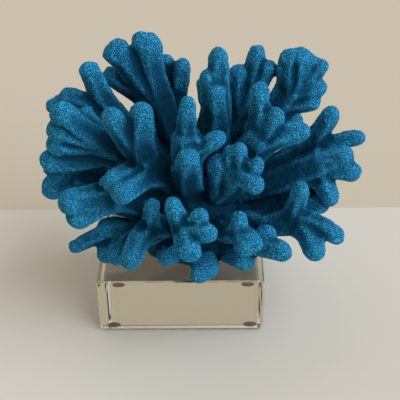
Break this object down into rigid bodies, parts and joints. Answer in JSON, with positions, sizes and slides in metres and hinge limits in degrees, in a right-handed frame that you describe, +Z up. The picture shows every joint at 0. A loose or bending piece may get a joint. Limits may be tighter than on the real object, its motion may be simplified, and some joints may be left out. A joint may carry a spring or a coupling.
{
  "type": "branching coral on clear block",
  "caption": "Blue branching coral colony, cut flat under its stump and standing on a solid clear block with round pads under its corners.",
  "frame": {"origin": "centre of the part's box, at the undersides of the pads", "axes": "+X to the right along the block's long side, +Y to the back, +Z up"},
  "size_m": [0.2896, 0.2052, 0.2609],
  "materials": {
    "coral": "matte",
    "clear_block": "polished",
    "pads": "satin"
  },
  "bodies": {
    "root": {"clear_block": "clear_block", "pad_front_left": "pads", "pad_front_right": "pads", "pad_back_left": "pads", "pad_back_right": "pads", "coral_stump": "coral", "branch_front_left": "coral", "branch_front_low_left": "coral", "branch_left_low": "coral", "branch_left_front": "coral", "branch_left_middle": "coral", "branch_left_fan": "coral", "branch_left_upper": "coral", "branch_centre_left": "coral", "branch_top_left": "coral", "branch_top_back": "coral", "branch_centre": "coral", "branch_top_centre": "coral", "branch_top_right": "coral", "branch_right_fan": "coral", "branch_right_upper": "coral", "branch_right_middle": "coral", "branch_right_plate": "coral", "branch_right_low": "coral", "branch_right_back": "coral", "branch_front_right": "coral", "branch_front_low_right": "coral", "branch_front_wedge": "coral", "branch_front_centre": "coral", "branch_front_low": "coral", "branch_centre_blade": "coral", "branch_back_top": "coral", "branch_back_left": "coral", "branch_back_centre": "coral", "branch_back_right": "coral"}
  },
  "joints": []
}
